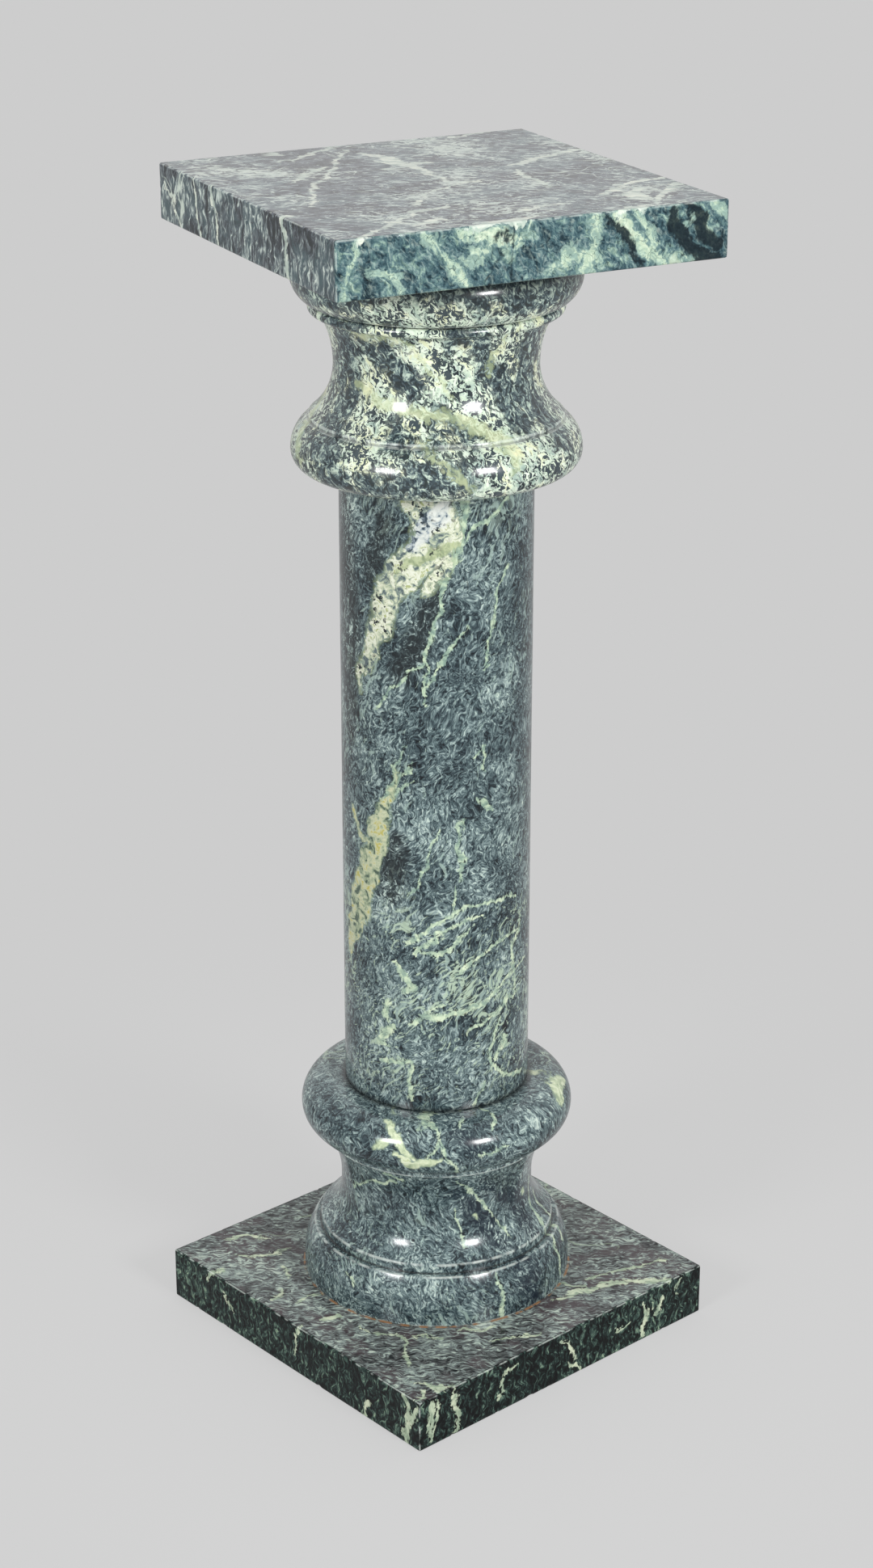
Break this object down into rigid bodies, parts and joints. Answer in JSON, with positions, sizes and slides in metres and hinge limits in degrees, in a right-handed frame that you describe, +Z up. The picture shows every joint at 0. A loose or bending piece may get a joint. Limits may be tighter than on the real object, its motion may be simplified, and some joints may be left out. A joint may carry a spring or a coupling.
{
  "type": "marble pedestal column",
  "caption": "Free-standing round pedestal of polished green marble, with a square plinth, moulded base, plain shaft, moulded capital and a square top slab turned a little on its axis.",
  "frame": {"origin": "centre of the plinth's underside, on the ground", "axes": "+Z up along the column's axis, +X and +Y square to the plinth's sides"},
  "size_m": [0.3982, 0.3982, 1],
  "materials": {
    "plinth_marble": "polished",
    "base_marble": "polished",
    "shaft_marble": "polished",
    "capital_marble": "polished",
    "slab_marble": "polished"
  },
  "bodies": {
    "root": {"plinth": "plinth_marble", "base": "base_marble", "shaft": "shaft_marble", "capital": "capital_marble", "top_slab": "slab_marble"}
  },
  "joints": []
}
